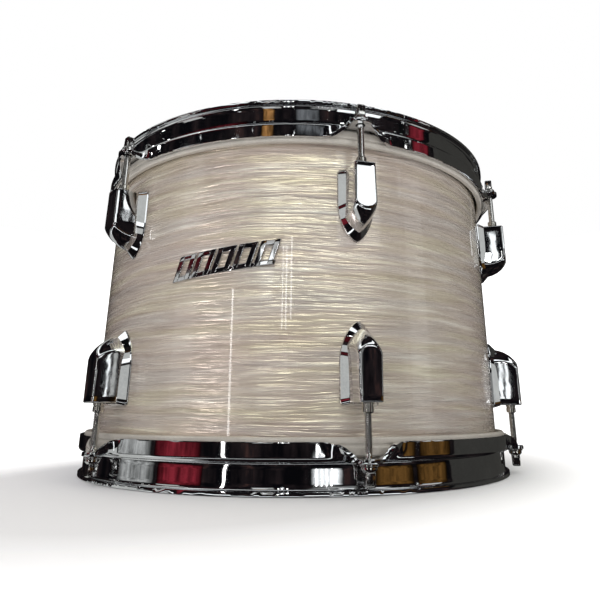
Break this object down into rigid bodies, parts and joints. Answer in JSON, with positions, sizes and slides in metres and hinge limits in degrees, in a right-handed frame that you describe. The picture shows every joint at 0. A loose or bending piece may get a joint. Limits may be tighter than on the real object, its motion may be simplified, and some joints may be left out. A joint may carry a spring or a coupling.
{
  "type": "rack tom drum",
  "caption": "Rack tom drum: wrapped cylindrical shell with a head on each end, pulled on by flanged steel hoops, tension rods and bullet lugs.",
  "frame": {"origin": "on the drum's axis, in the plane of the resonant-side rim that the drum stands on", "axes": "+Z along the drum's axis towards the batter head; the badge faces -Y; tension stations at azimuths 30 + 60 k degrees from -Y towards +X"},
  "size_m": [0.3738, 0.3486, 0.2494],
  "materials": {
    "oyster_wrap": "glossy oyster pearl wrap with wavy streaks along the shell's circumference",
    "shell_ply": "clear-sealed six-ply shell",
    "coated_film": "white rough-coated polyester film",
    "clear_film": "clear polyester film",
    "flesh_aluminium": "satin crimped channel",
    "hoop_chrome": "polished chrome over pressed steel",
    "lug_chrome": "polished chrome over zinc casting",
    "rod_chrome": "chrome-plated steel, rolled thread",
    "nut_nickel": "nickel-plated",
    "washer_steel": "plain plated steel",
    "badge_chrome": "polished plate with darker recessed lines",
    "eyelet_chrome": "chromed eyelet"
  },
  "bodies": {
    "shell_assembly": {"shell": "shell_ply", "wrap": "oyster_wrap", "badge_plate": "badge_chrome", "vent_eyelet": "eyelet_chrome", "vent_washer": "washer_steel", "batter_lug_1": "lug_chrome", "batter_swivel_nut_1": "nut_nickel", "batter_lug_2": "lug_chrome", "batter_swivel_nut_2": "nut_nickel", "batter_lug_3": "lug_chrome", "batter_swivel_nut_3": "nut_nickel", "batter_lug_4": "lug_chrome", "batter_swivel_nut_4": "nut_nickel", "batter_lug_5": "lug_chrome", "batter_swivel_nut_5": "nut_nickel", "batter_lug_6": "lug_chrome", "batter_swivel_nut_6": "nut_nickel", "resonant_lug_1": "lug_chrome", "resonant_swivel_nut_1": "nut_nickel", "resonant_lug_2": "lug_chrome", "resonant_swivel_nut_2": "nut_nickel", "resonant_lug_3": "lug_chrome", "resonant_swivel_nut_3": "nut_nickel", "resonant_lug_4": "lug_chrome", "resonant_swivel_nut_4": "nut_nickel", "resonant_lug_5": "lug_chrome", "resonant_swivel_nut_5": "nut_nickel", "resonant_lug_6": "lug_chrome", "resonant_swivel_nut_6": "nut_nickel"},
    "batter_hoop": {"batter_hoop": "hoop_chrome", "batter_rod_washer_1": "washer_steel", "batter_rod_washer_2": "washer_steel", "batter_rod_washer_3": "washer_steel", "batter_rod_washer_4": "washer_steel", "batter_rod_washer_5": "washer_steel", "batter_rod_washer_6": "washer_steel"},
    "batter_head": {"batter_head_film": "coated_film", "batter_flesh_hoop": "flesh_aluminium"},
    "batter_rod_1": {"batter_tension_rod_1": "rod_chrome"},
    "batter_rod_2": {"batter_tension_rod_2": "rod_chrome"},
    "batter_rod_3": {"batter_tension_rod_3": "rod_chrome"},
    "batter_rod_4": {"batter_tension_rod_4": "rod_chrome"},
    "batter_rod_5": {"batter_tension_rod_5": "rod_chrome"},
    "batter_rod_6": {"batter_tension_rod_6": "rod_chrome"},
    "resonant_hoop": {"resonant_hoop": "hoop_chrome", "resonant_rod_washer_1": "washer_steel", "resonant_rod_washer_2": "washer_steel", "resonant_rod_washer_3": "washer_steel", "resonant_rod_washer_4": "washer_steel", "resonant_rod_washer_5": "washer_steel", "resonant_rod_washer_6": "washer_steel"},
    "resonant_head": {"resonant_head_film": "clear_film", "resonant_flesh_hoop": "flesh_aluminium"},
    "resonant_rod_1": {"resonant_tension_rod_1": "rod_chrome"},
    "resonant_rod_2": {"resonant_tension_rod_2": "rod_chrome"},
    "resonant_rod_3": {"resonant_tension_rod_3": "rod_chrome"},
    "resonant_rod_4": {"resonant_tension_rod_4": "rod_chrome"},
    "resonant_rod_5": {"resonant_tension_rod_5": "rod_chrome"},
    "resonant_rod_6": {"resonant_tension_rod_6": "rod_chrome"}
  },
  "joints": [
    {"name": "batter_hoop_lift", "type": "slide", "parent": "shell_assembly", "child": "batter_hoop", "axis": [0, 0, 1], "range_m": [0, 0.036]},
    {"name": "batter_head_lift", "type": "slide", "parent": "shell_assembly", "child": "batter_head", "axis": [0, 0, 1], "range_m": [0, 0.022]},
    {"name": "batter_rod_1_turn", "type": "hinge", "parent": "batter_hoop", "child": "batter_rod_1", "pos_m": [0.08935, -0.15476, 0.2309], "axis": [0, 0, 1], "range_deg": [0, 12300]},
    {"name": "batter_rod_2_turn", "type": "hinge", "parent": "batter_hoop", "child": "batter_rod_2", "pos_m": [0.1787, 0, 0.2309], "axis": [0, 0, 1], "range_deg": [0, 12300]},
    {"name": "batter_rod_3_turn", "type": "hinge", "parent": "batter_hoop", "child": "batter_rod_3", "pos_m": [0.08935, 0.15476, 0.2309], "axis": [0, 0, 1], "range_deg": [0, 12300]},
    {"name": "batter_rod_4_turn", "type": "hinge", "parent": "batter_hoop", "child": "batter_rod_4", "pos_m": [-0.08935, 0.15476, 0.2309], "axis": [0, 0, 1], "range_deg": [0, 12300]},
    {"name": "batter_rod_5_turn", "type": "hinge", "parent": "batter_hoop", "child": "batter_rod_5", "pos_m": [-0.1787, 0, 0.2309], "axis": [0, 0, 1], "range_deg": [0, 12300]},
    {"name": "batter_rod_6_turn", "type": "hinge", "parent": "batter_hoop", "child": "batter_rod_6", "pos_m": [-0.08935, -0.15476, 0.2309], "axis": [0, 0, 1], "range_deg": [0, 12300]},
    {"name": "resonant_hoop_lift", "type": "slide", "parent": "shell_assembly", "child": "resonant_hoop", "axis": [0, 0, -1], "range_m": [0, 0.036]},
    {"name": "resonant_head_lift", "type": "slide", "parent": "shell_assembly", "child": "resonant_head", "axis": [0, 0, -1], "range_m": [0, 0.022]},
    {"name": "resonant_rod_1_turn", "type": "hinge", "parent": "resonant_hoop", "child": "resonant_rod_1", "pos_m": [0.08935, -0.15476, 0.0185], "axis": [0, 0, -1], "range_deg": [0, 12300]},
    {"name": "resonant_rod_2_turn", "type": "hinge", "parent": "resonant_hoop", "child": "resonant_rod_2", "pos_m": [0.1787, 0, 0.0185], "axis": [0, 0, -1], "range_deg": [0, 12300]},
    {"name": "resonant_rod_3_turn", "type": "hinge", "parent": "resonant_hoop", "child": "resonant_rod_3", "pos_m": [0.08935, 0.15476, 0.0185], "axis": [0, 0, -1], "range_deg": [0, 12300]},
    {"name": "resonant_rod_4_turn", "type": "hinge", "parent": "resonant_hoop", "child": "resonant_rod_4", "pos_m": [-0.08935, 0.15476, 0.0185], "axis": [0, 0, -1], "range_deg": [0, 12300]},
    {"name": "resonant_rod_5_turn", "type": "hinge", "parent": "resonant_hoop", "child": "resonant_rod_5", "pos_m": [-0.1787, 0, 0.0185], "axis": [0, 0, -1], "range_deg": [0, 12300]},
    {"name": "resonant_rod_6_turn", "type": "hinge", "parent": "resonant_hoop", "child": "resonant_rod_6", "pos_m": [-0.08935, -0.15476, 0.0185], "axis": [0, 0, -1], "range_deg": [0, 12300]}
  ],
  "couplings": [
    {"joint": "batter_head_lift", "follows": "batter_hoop_lift", "ratio": 0.6},
    {"joint": "batter_rod_1_turn", "follows": "batter_hoop_lift", "rad_per_m": 5936.9},
    {"joint": "batter_rod_2_turn", "follows": "batter_hoop_lift", "rad_per_m": 5936.9},
    {"joint": "batter_rod_3_turn", "follows": "batter_hoop_lift", "rad_per_m": 5936.9},
    {"joint": "batter_rod_4_turn", "follows": "batter_hoop_lift", "rad_per_m": 5936.9},
    {"joint": "batter_rod_5_turn", "follows": "batter_hoop_lift", "rad_per_m": 5936.9},
    {"joint": "batter_rod_6_turn", "follows": "batter_hoop_lift", "rad_per_m": 5936.9},
    {"joint": "resonant_head_lift", "follows": "resonant_hoop_lift", "ratio": 0.6},
    {"joint": "resonant_rod_1_turn", "follows": "resonant_hoop_lift", "rad_per_m": 5936.9},
    {"joint": "resonant_rod_2_turn", "follows": "resonant_hoop_lift", "rad_per_m": 5936.9},
    {"joint": "resonant_rod_3_turn", "follows": "resonant_hoop_lift", "rad_per_m": 5936.9},
    {"joint": "resonant_rod_4_turn", "follows": "resonant_hoop_lift", "rad_per_m": 5936.9},
    {"joint": "resonant_rod_5_turn", "follows": "resonant_hoop_lift", "rad_per_m": 5936.9},
    {"joint": "resonant_rod_6_turn", "follows": "resonant_hoop_lift", "rad_per_m": 5936.9}
  ]
}
